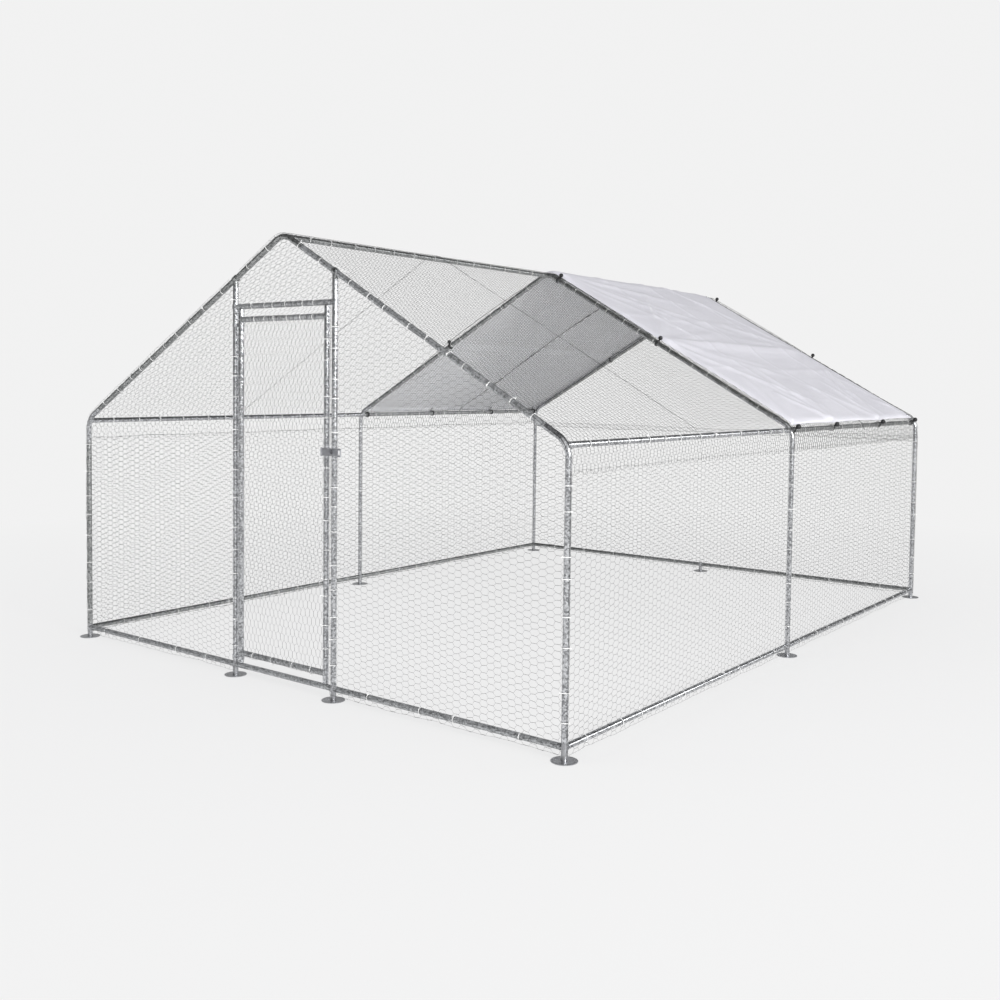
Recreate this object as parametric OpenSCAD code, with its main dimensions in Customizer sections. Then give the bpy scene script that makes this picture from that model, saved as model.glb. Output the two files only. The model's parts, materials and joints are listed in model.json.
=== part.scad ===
// Walk-in chicken run: a gable frame of plug-together steel tube in two bays,
// hexagonal wire net on every side, a tarp over the rear bay and a hinged door.
// X runs across the front, Y from front to back, Z up from the ground.

/* [Overall] */
// Width between the axes of the left and right posts
run_w = 3000; // [2200:50:4000]
// Length of one bay, between the axes of two frames
bay_l = 2000; // [1200:50:2500]
// Height of the eave corner, where the lines of a post and a rafter meet
eave_h = 1142; // [950:1:1400]
// Height of the ridge corner, where the lines of two rafters meet
ridge_h = 1990; // [1850:1:2400]

/* [Tubes and plug joints] */
// Outside diameter of every tube
tube_d = 25; // [20:0.5:32]
// Wall of every tube
tube_wall = 1.2; // [0.8:0.1:2]
// Radial gap between a spigot and the tube pushed over it
spigot_gap = 0.2; // [0.1:0.05:0.4]
// Length of a spigot
spigot_l = 50; // [30:1:70]
// Gap between the end of a tube and the shoulder it meets
butt_gap = 0.3; // [0.2:0.1:1]
// Bend radius of the elbows, at the middle of the tube
bend_r = 90; // [60:1:110]
// Loss of tube radius in a bend
bend_thin = 0.2; // [0.1:0.05:0.4]
// Leg of an eave elbow, from the corner to the joint
eave_leg = 117; // [100:1:180]
// Leg of a ridge elbow, from the corner to the joint
ridge_leg = 140; // [110:1:220]

/* [Feet and base rails] */
// Diameter of a foot plate
foot_d = 100; // [90:1:140]
// Thickness of a foot plate
foot_t = 2.5; // [1.5:0.1:5]
// Height of the base rails' axis
rail_h = 50; // [40:1:80]
// Length of a foot's stem above the base rails
foot_neck = 5; // [2:1:15]
// Diameter of the four peg holes in a foot plate
peg_hole_d = 8; // [5:0.5:12]
// Diameter of the circle the peg holes lie on
peg_circle_d = 76; // [60:1:80]

/* [Doorway] */
// Distance between the axes of the two door posts
doorway_w = 640; // [520:1:900]
// Drop from the rafter's axis to the header's axis at a door post
header_drop = 126; // [100:1:260]
// Drop from the rafter's axis to the top of a door post
post_drop = 32; // [28:1:50]
// Width of a pipe clamp along its tube
clamp_w = 22; // [16:1:24]
// Wall of a pipe clamp
clamp_t = 3; // [2:0.1:5]
// Radial gap between a clamp and the tube it holds
clamp_gap = 0.15; // [0.1:0.05:0.3]

/* [Door] */
// Gap between the hinge stile and its door post
hinge_gap = 14; // [1.5:0.1:20]
// Gap between the latch stile and its door post
latch_gap = 22; // [10:1:30]
// Gap above and below the door's stiles
stile_gap = 0.8; // [0.5:0.1:4]
// Distance of the door's cross rails from the ends of its stiles
cross_rail_inset = 45; // [42:1:120]
// Gap in the welded seat of a cross rail on its stile
weld_gap = 0.15; // [0.1:0.05:0.3]
// Height of a hinge clip
clip_h = 18; // [12:1:20]
// Wall of a hinge clip
clip_t = 2; // [1.5:0.1:3]
// Thickness of the bar between a hinge clip's two eyes
clip_bar = 8; // [6:1:14]
// Drop from a cross rail's axis to the middle of the hinge clip under it
clip_drop = 24; // [23:1:26]
// Radial running gap of the hinge stile in its clips
run_gap = 0.05; // [0.02:0.01:0.1]
// Diameter of the bolt that closes a hinge clip
clip_bolt_d = 5; // [4:0.5:6]

/* [Latch] */
// Height of the hasp's middle
latch_h = 1055; // [700:1:1300]
// Height of the hasp's leaf
hasp_h = 32; // [28:1:50]
// Thickness of the hasp's leaf
hasp_t = 2.5; // [1.5:0.1:3.5]
// Gap between the leaf and the clamps behind it
leaf_gap = 0.4; // [0.3:0.1:1.5]
// Diameter of the hasp's hinge pin
hasp_pin_d = 5; // [4:0.5:6]
// Wall of the knuckles round the pin
knuckle_t = 1.7; // [1.2:0.1:2.5]
// Distance of the pin from the stile's axis towards the door's hinges
pin_in = 13; // [10:1:16]
// Reach of the leaf past the door post's axis, to its fold
leaf_past = 36; // [18:1:50]
// Length of the folded grip
grip_l = 33; // [26:1:50]
// Height of the folded grip
grip_h = 36; // [32:1:50]
// Width of the rim round the grip's slot
grip_rim = 7; // [5:0.5:9]
// Angle of the fold
grip_fold = 20; // [5:1:45]
// Thickness of the staple
staple_t = 5; // [3:0.5:6]
// Height of the staple
staple_h = 18; // [16:1:20]
// Reach of the staple in front of the leaf
staple_out = 14; // [12:1:16]
// Diameter of the hole in the staple
staple_hole_d = 9; // [6:0.5:10]
// Gap between the staple and the leaf's slot
slot_gap = 3; // [2.5:0.1:4]

/* [Wire net] */
// Width of a net cell between its flat sides
net_cell = 200; // [160:5:400]
// Width of a net strand
net_wire = 7; // [4:0.5:12]
// Thickness of a net
net_t = 1; // [0.8:0.1:2]
// Gap between a net and the tubes it lies on
net_gap = 0.9; // [0.4:0.1:0.9]
// Width of a roll of net
roll_w = 1000; // [600:10:1000]
// Gap between two widths of net
seam_gap = 0.5; // [0.3:0.1:0.9]
// Distance of the roof and wall nets from the eave corner
eave_clear = 45; // [40:1:90]

/* [Tarp] */
// Thickness of the tarp
tarp_t = 0.8; // [0.6:0.1:3]
// Distance of the tarp's hem from the eave corner
hem_up = 24; // [20:1:150]
// Depth of the hem's scallops between two bungees
scallop = 12; // [6:1:80]
// Bungees along one hem
bungee_count = 4; // [3:1:6]
// Diameter of a bungee's ball
ball_d = 30; // [20:1:34]
// Diameter of a bungee's elastic loop
loop_d = 5; // [3:0.5:6]

/* [Hidden] */
$fn = 64;
tube_r = tube_d / 2;
bore_d = tube_d - 2 * tube_wall;
spigot_d = bore_d - 2 * spigot_gap;
spigot_bore = spigot_d - 2 * tube_wall;
over = 1;
bend_lap = 2;

left = -1;
right = 1;
front = -bay_l;
mid = 0;
back = bay_l;
half_w = run_w / 2;

// The roof
pitch = atan((ridge_h - eave_h) / half_w);
slope_l = half_w / cos(pitch);
eave_bend = 90 - pitch;
ridge_bend = 2 * pitch;
eave_tan = bend_r * tan(eave_bend / 2);
ridge_tan = bend_r * tan(ridge_bend / 2);
// The purlins run through the middle of the bends
eave_mid_x = half_w - bend_r * (1 - cos(eave_bend / 2));
eave_mid_z = eave_h - eave_tan + bend_r * sin(eave_bend / 2);
ridge_mid_z = ridge_h - bend_r * (1 / cos(pitch) - 1);

// The base
stem_top = rail_h + tube_r + foot_neck;
shoulder = tube_r + butt_gap;
net_foot = rail_h - tube_r;

// The doorway
door_x = doorway_w / 2;
door_rafter_z = roof_z(door_x);
header_h = door_rafter_z - header_drop;
clamp_r = tube_r + clamp_gap + clamp_t;

// The door
hinge_x = -door_x + tube_d + hinge_gap;
latch_x = door_x - tube_d - latch_gap;
stile_bottom = rail_h + tube_r + stile_gap;
stile_top = header_h - tube_r - stile_gap;
low_rail_h = stile_bottom + cross_rail_inset;
top_rail_h = stile_top - cross_rail_inset;
clip_r = tube_r + clamp_gap + clip_t;
clip_bolt_y = clip_r + clip_bolt_d;
clip_slit = 2;
clip_ear_t = 3;

// The hasp, in front of the clamps that carry it
leaf_y = clamp_r + leaf_gap;
knuckle_r = hasp_pin_d / 2 + knuckle_t;
pin_x = latch_x - pin_in;
pin_y = leaf_y + hasp_t / 2;
leaf_x = pin_x + knuckle_r + 1;
leaf_end = door_x + leaf_past;
knuckle_h = hasp_h / 3;
knuckle_gap = 0.3;

// The nets' edges keep clear of the clamps and clips
clamp_reach = max(clamp_r, clamp_w / 2 * cos(pitch) + clamp_r * sin(pitch));
net_lift = tube_r + net_gap;
net_lap = tube_r - 2;
strand = net_wire;
roof_front = front + sqrt(pow(clamp_r + net_gap, 2) - pow(net_lift, 2));

// The tarp and its bungees
tarp_lift = net_lift + net_t + net_gap;
bungee_end = 45;
bungee_step = (bay_l - 2 * bungee_end) / (bungee_count - 1);
loop_r = tube_r + loop_d / 2 + 0.3;

steel = "silver";
wire = "darkgray";

// Height of the rafters' axis above a place across the run
function roof_z(x) = ridge_h - abs(x) * tan(pitch);

// A point on the axis of a rafter, a distance up the slope from the eave corner
function on_rafter(side, y, up) = [side * (half_w - up * cos(pitch)), y, eave_h + up * sin(pitch)];

// Distance of a point inside an edge, less the strand along that edge
function inside(p, a, b) = cross(b - a, p - a) / norm(b - a) - strand;
function edge_point(p, q, dp, dq) = p + (q - p) * dp / (dp - dq);

// The part of a polygon that lies inside one edge of a convex outline
function cut_by_edge(poly, a, b) = [
  for (i = [0:1:len(poly) - 1])
    let (p = poly[i], q = poly[(i + 1) % len(poly)], dp = inside(p, a, b), dq = inside(q, a, b))
      each concat(dp >= 0 ? [p] : [], dp * dq < 0 ? [edge_point(p, q, dp, dq)] : [])
];

// The part of a polygon that lies inside a convex outline, drawn anticlockwise
function cut_by_outline(poly, outline, i = 0) =
  i == len(outline) ? poly
  : cut_by_outline(cut_by_edge(poly, outline[i], outline[(i + 1) % len(outline)]), outline, i + 1);

function area(poly) =
  abs([for (i = [0:1:len(poly) - 1]) cross(poly[i], poly[(i + 1) % len(poly)])] * [for (p = poly) 0.5]);

function cell_at(centre) =
  [for (a = [30:60:330]) centre + (net_cell - net_wire) / sqrt(3) * [cos(a), sin(a)]];

// Every cell of the net that an outline holds, cut off at the edges
function cells_in(outline) =
  let (
    low = [min([for (p = outline) p.x]), min([for (p = outline) p.y])],
    high = [max([for (p = outline) p.x]), max([for (p = outline) p.y])],
    row_h = net_cell * sqrt(3) / 2,
    cells = [
      for (row = [0:ceil((high.y - low.y) / row_h)], col = [0:ceil((high.x - low.x) / net_cell) + 1])
        cut_by_outline(cell_at(low + [(col + (row % 2) / 2) * net_cell, row * row_h]), outline)
    ]
  )
  [for (c = cells) if (len(c) > 2 && area(c) > net_wire * net_wire) c];

// A flat net of six-sided cells
module net(outline) {
  cells = cells_in(outline);
  rings = concat([outline], cells);
  paths = [
    for (i = 0, first = 0; i < len(rings); first = first + len(rings[i]), i = i + 1)
      [for (k = [0:len(rings[i]) - 1]) first + k]
  ];
  linear_extrude(net_t)
    polygon([for (r = rings) each r], paths);
}

// A straight tube from one point to another
module tube(from, to) {
  run = to - from;
  length = norm(run);
  translate(from)
    rotate([0, acos(run.z / length), atan2(run.y, run.x)])
      difference() {
        cylinder(d = tube_d, h = length);
        translate([0, 0, -over])
          cylinder(d = bore_d, h = length + 2 * over);
      }
}

// A round bar that rises to the origin, bends towards -X and runs on, a little thinner in the bend
module bent_bar(d, bend, straight) {
  translate([0, 0, -straight])
    cylinder(d = d, h = straight + bend_lap);
  translate([-bend_r, 0, 0]) {
    rotate([90, 0, 0])
      rotate_extrude(angle = bend)
        translate([bend_r, 0])
          circle(d = d - 2 * bend_thin);
    rotate([0, -bend, 0])
      translate([bend_r, 0, -bend_lap])
        cylinder(d = d, h = straight + bend_lap);
  }
}

// The place and direction of a bent bar's far end
module at_far_end(bend, straight) {
  translate([-bend_r, 0, 0])
    rotate([0, -bend, 0])
      translate([bend_r, 0, straight])
        children();
}

// A bent tube with a spigot at each end and purlin stubs at its middle
module elbow(bend, straight, stubs) {
  difference() {
    union() {
      bent_bar(tube_d, bend, straight);
      translate([0, 0, -straight - spigot_l])
        cylinder(d = spigot_d, h = spigot_l + over);
      at_far_end(bend, straight - over)
        cylinder(d = spigot_d, h = spigot_l + over);
      for (way = stubs)
        at_far_end(bend / 2, 0)
          rotate([-90 * way, 0, 0])
            cylinder(d = spigot_d, h = tube_r + spigot_l);
    }
    bent_bar(spigot_bore, bend, straight + spigot_l + over);
    for (way = stubs)
      at_far_end(bend / 2, 0)
        rotate([-90 * way, 0, 0])
          translate([0, 0, tube_r])
            cylinder(d = spigot_bore, h = spigot_l + over);
  }
}

// The bays that meet at a frame, as directions along Y
function stubs_at(y) = y == front ? [1] : y == back ? [-1] : [-1, 1];

module post(side, y) {
  color(steel)
    tube([side * half_w, y, stem_top + butt_gap], [side * half_w, y, eave_h - eave_leg - butt_gap]);
}

module eave_elbow(side, y) {
  color(steel)
    mirror([side == left ? 1 : 0, 0, 0])
      translate([half_w, y, eave_h - eave_tan])
        elbow(eave_bend, eave_leg - eave_tan, stubs_at(y));
}

module rafter(side, y) {
  color("gray")
    tube(on_rafter(side, y, eave_leg + butt_gap), on_rafter(side, y, slope_l - ridge_leg - butt_gap));
}

module ridge_elbow(y) {
  color("gray")
    translate(on_rafter(right, y, slope_l - ridge_tan))
      rotate([0, -eave_bend, 0])
        elbow(ridge_bend, ridge_leg - ridge_tan, stubs_at(y));
}

// A tube that runs along one bay
module bay_tube(x, z, y) {
  color(steel)
    tube([x, y + shoulder, z], [x, y + bay_l - shoulder, z]);
}

module ridge_purlins() {
  for (y = [front, mid])
    bay_tube(0, ridge_mid_z, y);
}

module eave_purlin(side, y) {
  bay_tube(side * eave_mid_x, eave_mid_z, y);
}

module base_rail(side, y) {
  bay_tube(side * half_w, rail_h, y);
}

// A base tube that runs across the run
module cross_rail(y, from, to) {
  color(steel)
    tube([from + shoulder, y, rail_h], [to - shoulder, y, rail_h]);
}

module door_side_rails() {
  cross_rail(front, -half_w, -door_x);
  cross_rail(front, door_x, half_w);
}

module door_threshold() {
  cross_rail(front, -door_x, door_x);
}

module rear_rails() {
  cross_rail(back, -half_w, 0);
  cross_rail(back, 0, half_w);
}

// A foot plate with its stem, and a spigot for each rail and for the post
module foot(x, y, rails, post = true) {
  color(steel)
    translate([x, y, 0])
      difference() {
        union() {
          cylinder(d = foot_d, h = foot_t);
          cylinder(d = tube_d, h = stem_top);
          if (post)
            cylinder(d = spigot_d, h = stem_top + spigot_l);
          for (a = rails)
            translate([0, 0, rail_h])
              rotate([0, 90, a])
                cylinder(d = spigot_d, h = tube_r + spigot_l);
        }
        if (post)
          translate([0, 0, rail_h + tube_r])
            cylinder(d = spigot_bore, h = foot_neck + spigot_l + over);
        for (a = rails)
          translate([0, 0, rail_h])
            rotate([0, 90, a])
              translate([0, 0, tube_r])
                cylinder(d = spigot_bore, h = spigot_l + over);
        for (a = [45:90:315])
          rotate([0, 0, a])
            translate([peg_circle_d / 2, 0, -over])
              cylinder(d = peg_hole_d, h = foot_t + 2 * over);
      }
}

module corner_feet() {
  foot(-half_w, front, [0, 90]);
  foot(half_w, front, [180, 90]);
  foot(-half_w, back, [0, -90]);
  foot(half_w, back, [180, -90]);
}

module side_feet() {
  for (side = [left, right])
    foot(side * half_w, mid, [-90, 90]);
}

module door_feet() {
  for (side = [left, right])
    foot(side * door_x, front, [0, 180]);
}

module rear_foot() {
  foot(0, back, [0, 180], post = false);
}

module door_post(side) {
  color(steel)
    tube([side * door_x, front, stem_top + butt_gap], [side * door_x, front, door_rafter_z - post_drop - butt_gap]);
}

// A clamp round a tube that runs along Z
module clamp_ring() {
  translate([0, 0, -clamp_w / 2])
    cylinder(r = clamp_r, h = clamp_w);
}

module clamp_bore(length) {
  translate([0, 0, -length / 2])
    cylinder(r = tube_r + clamp_gap, h = length);
}

// The clamps that hold the door posts to the front rafters
module rafter_clamps() {
  color(steel)
    for (side = [left, right])
      translate([side * door_x, front, door_rafter_z])
        difference() {
          union() {
            rotate([0, -side * eave_bend, 0])
              clamp_ring();
            translate([0, 0, -post_drop])
              cylinder(d = tube_d, h = post_drop);
            translate([0, 0, -post_drop - spigot_l])
              cylinder(d = spigot_d, h = spigot_l + over);
          }
          rotate([0, -side * eave_bend, 0])
            clamp_bore(4 * post_drop);
          translate([0, 0, -post_drop - spigot_l - over])
            cylinder(d = spigot_bore, h = spigot_l + over);
        }
}

// The clamps that hold the header to the door posts
module header_clamps() {
  color(steel)
    for (side = [left, right])
      translate([side * door_x, front, header_h])
        difference() {
          union() {
            clamp_ring();
            rotate([0, -side * 90, 0])
              cylinder(d = spigot_d, h = clamp_r + spigot_l);
          }
          clamp_bore(2 * tube_d);
          rotate([0, -side * 90, 0])
            translate([0, 0, clamp_r])
              cylinder(d = spigot_bore, h = spigot_l + over);
        }
}

module door_header() {
  reach = door_x - clamp_r - butt_gap;
  color(steel)
    tube([-reach, front, header_h], [reach, front, header_h]);
}

module door_stile(x) {
  color(steel)
    tube([x, front, stile_bottom], [x, front, stile_top]);
}

// A cross rail whose ends are coped to the round of the stiles
module door_rail(z) {
  color(steel)
    difference() {
      tube([hinge_x, front, z], [latch_x, front, z]);
      for (x = [hinge_x, latch_x])
        translate([x, front, z - tube_d])
          cylinder(r = tube_r + weld_gap, h = 2 * tube_d);
    }
}

// The heights of the two hinge clips
clip_heights = [low_rail_h - clip_drop, top_rail_h - clip_drop];

// A clip clamped to the door post, with an eye for the hinge stile
module hinge_clips() {
  color(steel)
    for (z = clip_heights)
      translate([-door_x, front, z - clip_h / 2])
        difference() {
          union() {
            cylinder(r = clip_r, h = clip_h);
            translate([hinge_x + door_x, 0, 0])
              cylinder(r = clip_r, h = clip_h);
            translate([0, -clip_bar / 2, 0])
              cube([hinge_x + door_x, clip_bar, clip_h]);
            translate([-clip_slit / 2 - clip_ear_t, 0, 0])
              cube([clip_slit + 2 * clip_ear_t, clip_bolt_y + clip_bolt_d, clip_h]);
          }
          translate([0, 0, -over])
            cylinder(r = tube_r + clamp_gap, h = clip_h + 2 * over);
          translate([hinge_x + door_x, 0, -over])
            cylinder(r = tube_r + run_gap, h = clip_h + 2 * over);
          translate([-clip_slit / 2, 0, -over])
            cube([clip_slit, clip_bolt_y + clip_bolt_d + over, clip_h + 2 * over]);
          translate([-clip_r, clip_bolt_y, clip_h / 2])
            rotate([0, 90, 0])
              cylinder(d = clip_bolt_d + 2 * clamp_gap, h = 2 * clip_r);
        }
}

// The bolts that close the hinge clips, each with its head and nut
module hinge_bolts() {
  grip = clip_slit + 2 * clip_ear_t + 2 * clamp_gap;
  head_h = 0.6 * clip_bolt_d;
  head_r = 0.9 * clip_bolt_d;
  color("dimgray")
    for (z = clip_heights)
      translate([-door_x, front + clip_bolt_y, z])
        rotate([0, 90, 0]) {
          translate([0, 0, -grip / 2 - head_h])
            cylinder(d = clip_bolt_d, h = grip + 2.5 * head_h);
          translate([0, 0, -grip / 2 - head_h])
            cylinder(r = head_r, h = head_h);
          translate([0, 0, grip / 2])
            cylinder(r = head_r, h = head_h, $fn = 6);
        }
}

// The clamp on the latch stile that carries the hasp's pin between two knuckles
module hasp_clip() {
  arm = norm([pin_in, pin_y]);
  color("gray")
    translate([latch_x, front, latch_h])
      difference() {
        union() {
          translate([0, 0, -hasp_h / 2])
            cylinder(r = clamp_r, h = hasp_h);
          for (z = [-hasp_h / 2, hasp_h / 2 - knuckle_h])
            translate([0, 0, z]) {
              translate([-pin_in, -pin_y, 0])
                cylinder(r = knuckle_r, h = knuckle_h);
              rotate([0, 0, atan2(-pin_y, -pin_in)])
                translate([clamp_r - clamp_t / 2, -knuckle_r / 2, 0])
                  cube([arm - clamp_r + clamp_t / 2, knuckle_r, knuckle_h]);
            }
        }
        clamp_bore(2 * hasp_h);
        translate([-pin_in, -pin_y, -hasp_h])
          cylinder(d = hasp_pin_d + 2 * run_gap, h = 2 * hasp_h);
      }
}

// The pin the leaf turns on, with a head at each end
module hasp_pin() {
  head_h = hasp_pin_d / 2;
  color("dimgray")
    translate([pin_x, front - pin_y, latch_h]) {
      translate([0, 0, -hasp_h / 2 - head_h])
        cylinder(d = hasp_pin_d, h = hasp_h + 2 * head_h);
      for (z = [-hasp_h / 2 - head_h - knuckle_gap, hasp_h / 2 + knuckle_gap])
        translate([0, 0, z])
          cylinder(r = knuckle_r, h = head_h);
    }
}

// The leaf that swings off the staple, with a slotted grip folded outwards
module hasp_leaf() {
  neck_h = knuckle_h - 2 * knuckle_gap;
  color("gray")
    translate([0, front - leaf_y - hasp_t, latch_h])
      difference() {
        union() {
          translate([pin_x, hasp_t / 2, -neck_h / 2])
            cylinder(r = knuckle_r, h = neck_h);
          translate([pin_x, 0, -neck_h / 2])
            cube([leaf_x - pin_x + over, hasp_t, neck_h]);
          translate([leaf_x, 0, -hasp_h / 2])
            cube([leaf_end - leaf_x, hasp_t, hasp_h]);
          translate([leaf_end - over, 0, -grip_h / 2])
            rotate([0, 0, -grip_fold])
              cube([grip_l, hasp_t, grip_h]);
        }
        translate([pin_x, hasp_t / 2, -hasp_h])
          cylinder(d = hasp_pin_d + 2 * run_gap, h = 2 * hasp_h);
        translate([door_x - staple_t / 2 - slot_gap, -over, -staple_h / 2 - slot_gap])
          cube([staple_t + 2 * slot_gap, hasp_t + 2 * over, staple_h + 2 * slot_gap]);
        translate([leaf_end - over, 0, 0])
          rotate([0, 0, -grip_fold])
            translate([grip_rim, -over, -grip_h / 2 + grip_rim])
              cube([grip_l - 2 * grip_rim, hasp_t + 2 * over, grip_h - 2 * grip_rim]);
      }
}

// The clamp on the door post with the staple that takes a padlock
module hasp_staple() {
  out = leaf_y + hasp_t + staple_out;
  corner = staple_h / 4;
  color("gray")
    translate([door_x, front, latch_h])
      difference() {
        union() {
          clamp_ring();
          translate([-staple_t / 2, 0, 0])
            rotate([90, 0, 90])
              linear_extrude(staple_t)
                polygon([
                  [-tube_r, -staple_h / 2], [-tube_r, staple_h / 2], [corner - out, staple_h / 2],
                  [-out, staple_h / 2 - corner], [-out, corner - staple_h / 2], [corner - out, -staple_h / 2]
                ]);
        }
        clamp_bore(2 * tube_d);
        translate([-staple_t, -out + staple_h / 2, 0])
          rotate([0, 90, 0])
            cylinder(d = staple_hole_d, h = 2 * staple_t);
      }
}

// Carries a flat drawing to the front or rear plane, X across and Y up
module on_front() {
  color(wire)
    translate([0, front - net_lift, 0])
      rotate([90, 0, 0])
        children();
}

module front_nets() {
  post_edge = door_x + clamp_reach + net_gap;
  gap_edge = door_x - clamp_reach - net_gap;
  on_front() {
    net([[-half_w, net_foot], [-post_edge, net_foot], [-post_edge, roof_z(post_edge)], [-half_w, eave_h]]);
    net([[post_edge, net_foot], [half_w, net_foot], [half_w, eave_h], [post_edge, roof_z(post_edge)]]);
    net([[-gap_edge, header_h], [gap_edge, header_h], [gap_edge, roof_z(gap_edge)], [0, ridge_h],
         [-gap_edge, roof_z(gap_edge)]]);
  }
}

module door_net() {
  from = hinge_x + clip_r + net_gap;
  to = min(latch_x - clamp_r, pin_x - knuckle_r) - net_gap;
  low = low_rail_h - net_lap;
  high = top_rail_h + net_lap;
  on_front()
    net([[from, low], [to, low], [to, high], [from, high]]);
}

// The rear net in two widths, one above the other
module rear_net() {
  seam = min(net_foot + roll_w, eave_h - eave_clear);
  color(wire)
    translate([0, back + net_lift + net_t, 0])
      rotate([90, 0, 0]) {
        net([[-half_w, net_foot], [half_w, net_foot], [half_w, seam], [-half_w, seam]]);
        net([[-half_w, seam + seam_gap], [half_w, seam + seam_gap], [half_w, eave_h], [0, ridge_h],
             [-half_w, eave_h]]);
      }
}

// A side wall's net, one length to each bay
module wall_net(side) {
  high = eave_h - eave_clear;
  color(wire)
    mirror([side == left ? 1 : 0, 0, 0])
      translate([half_w + net_lift, 0, 0])
        rotate([90, 0, 90]) {
          net([[front, net_foot], [mid - seam_gap, net_foot], [mid - seam_gap, high], [front, high]]);
          net([[mid, net_foot], [back, net_foot], [back, high], [mid, high]]);
        }
}

// Carries a flat drawing to a roof slope: X to the back, Y up the slope from the eave
module on_slope(side, lift) {
  mirror([side == left ? 1 : 0, 0, 0])
    translate([half_w, 0, eave_h])
      rotate([0, pitch, 0])
        translate([0, 0, lift])
          rotate([0, 0, 90])
            children();
}

// The roof nets, two widths to each bay, laid from eave to ridge
module roof_nets() {
  edges = [roof_front, front + bay_l / 2, mid, mid + bay_l / 2, back + net_lap];
  color(wire)
    for (side = [left, right])
      on_slope(side, net_lift)
        for (i = [0:3])
          net([[edges[i], eave_clear], [edges[i + 1] - seam_gap, eave_clear],
               [edges[i + 1] - seam_gap, slope_l], [edges[i], slope_l]]);
}

// Place of the hem between two bungees, up the slope from the eave corner
function hem_at(share) = hem_up + scallop * (1 - pow(2 * share - 1, 2));

// The tarp over the rear bay, with hems scalloped between the bungees
module tarp() {
  steps = 12;
  top = slope_l + (tarp_lift + tarp_t) * tan(pitch);
  hem = [
    for (i = [0:bungee_count - 2], k = [0:steps - 1])
      [bungee_end + (i + k / steps) * bungee_step, hem_at(k / steps)]
  ];
  color("lavender")
    for (side = [left, right])
      on_slope(side, tarp_lift)
        linear_extrude(tarp_t)
          polygon(concat(
            [[mid + net_lap, hem_up]], hem, [[back - bungee_end, hem_up], [back - net_lap, hem_up]],
            [[back - net_lap, top], [mid + net_lap, top]]
          ));
}

// Elastic loops round the eave purlins, each with its ball
module tarp_bungees() {
  ball_out = loop_r + ball_d / 2;
  color("black")
    for (side = [left, right], i = [0:bungee_count - 1])
      mirror([side == left ? 1 : 0, 0, 0])
        translate([eave_mid_x, bungee_end + i * bungee_step, eave_mid_z]) {
          rotate([90, 0, 0])
            rotate_extrude()
              translate([loop_r, 0])
                circle(d = loop_d);
          rotate([0, -eave_bend / 2, 0])
            translate([ball_out, 0, 0])
              sphere(d = ball_d);
        }
}

post(left, front);  // post_front_left
post(right, front);  // post_front_right
post(left, mid);  // post_mid_left
post(right, mid);  // post_mid_right
post(left, back);  // post_back_left
post(right, back);  // post_back_right
eave_elbow(left, front);  // eave_elbow_front_left
eave_elbow(right, front);  // eave_elbow_front_right
eave_elbow(left, mid);  // eave_elbow_mid_left
eave_elbow(right, mid);  // eave_elbow_mid_right
eave_elbow(left, back);  // eave_elbow_back_left
eave_elbow(right, back);  // eave_elbow_back_right
rafter(left, front);  // rafter_front_left
rafter(right, front);  // rafter_front_right
rafter(left, mid);  // rafter_mid_left
rafter(right, mid);  // rafter_mid_right
rafter(left, back);  // rafter_back_left
rafter(right, back);  // rafter_back_right
ridge_elbow(front);  // ridge_elbow_front
ridge_elbow(mid);  // ridge_elbow_mid
ridge_elbow(back);  // ridge_elbow_back
ridge_purlins();
eave_purlin(left, front);  // eave_purlin_front_left
eave_purlin(right, front);  // eave_purlin_front_right
eave_purlin(left, mid);  // eave_purlin_back_left
eave_purlin(right, mid);  // eave_purlin_back_right
base_rail(left, front);  // base_rail_front_left
base_rail(right, front);  // base_rail_front_right
base_rail(left, mid);  // base_rail_back_left
base_rail(right, mid);  // base_rail_back_right
door_side_rails();
door_threshold();
rear_rails();
corner_feet();
side_feet();
door_feet();
rear_foot();
door_post(left);  // door_post_left
door_post(right);  // door_post_right
rafter_clamps();
header_clamps();
door_header();
door_stile(hinge_x);  // door_hinge_stile
door_stile(latch_x);  // door_latch_stile
door_rail(top_rail_h);  // door_top_rail
door_rail(low_rail_h);  // door_low_rail
door_net();
hinge_clips();
hinge_bolts();
hasp_clip();
hasp_pin();
hasp_leaf();
hasp_staple();
front_nets();
wall_net(left);  // wall_net_left
wall_net(right);  // wall_net_right
rear_net();
roof_nets();
tarp();
tarp_bungees();
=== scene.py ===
import json
import math

import bpy
import numpy as np
from mathutils import Matrix, Vector

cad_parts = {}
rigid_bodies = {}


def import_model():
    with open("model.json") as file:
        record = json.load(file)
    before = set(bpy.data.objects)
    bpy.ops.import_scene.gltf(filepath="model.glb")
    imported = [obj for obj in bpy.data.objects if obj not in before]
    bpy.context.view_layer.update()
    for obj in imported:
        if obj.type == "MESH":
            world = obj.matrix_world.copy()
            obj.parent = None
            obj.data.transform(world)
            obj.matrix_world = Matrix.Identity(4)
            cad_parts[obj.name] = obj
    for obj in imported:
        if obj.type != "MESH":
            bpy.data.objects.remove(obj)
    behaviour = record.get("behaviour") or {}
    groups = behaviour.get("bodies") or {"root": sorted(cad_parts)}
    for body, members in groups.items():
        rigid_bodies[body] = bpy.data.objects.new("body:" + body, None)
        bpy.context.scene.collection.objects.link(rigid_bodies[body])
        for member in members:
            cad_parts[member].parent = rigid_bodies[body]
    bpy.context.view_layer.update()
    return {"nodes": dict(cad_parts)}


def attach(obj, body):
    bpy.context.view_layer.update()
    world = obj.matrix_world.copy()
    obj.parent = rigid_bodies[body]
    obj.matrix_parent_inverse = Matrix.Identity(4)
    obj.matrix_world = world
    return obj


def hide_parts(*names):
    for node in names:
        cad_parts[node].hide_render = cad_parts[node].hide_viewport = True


for o in list(bpy.data.objects):
    bpy.data.objects.remove(o)

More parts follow.
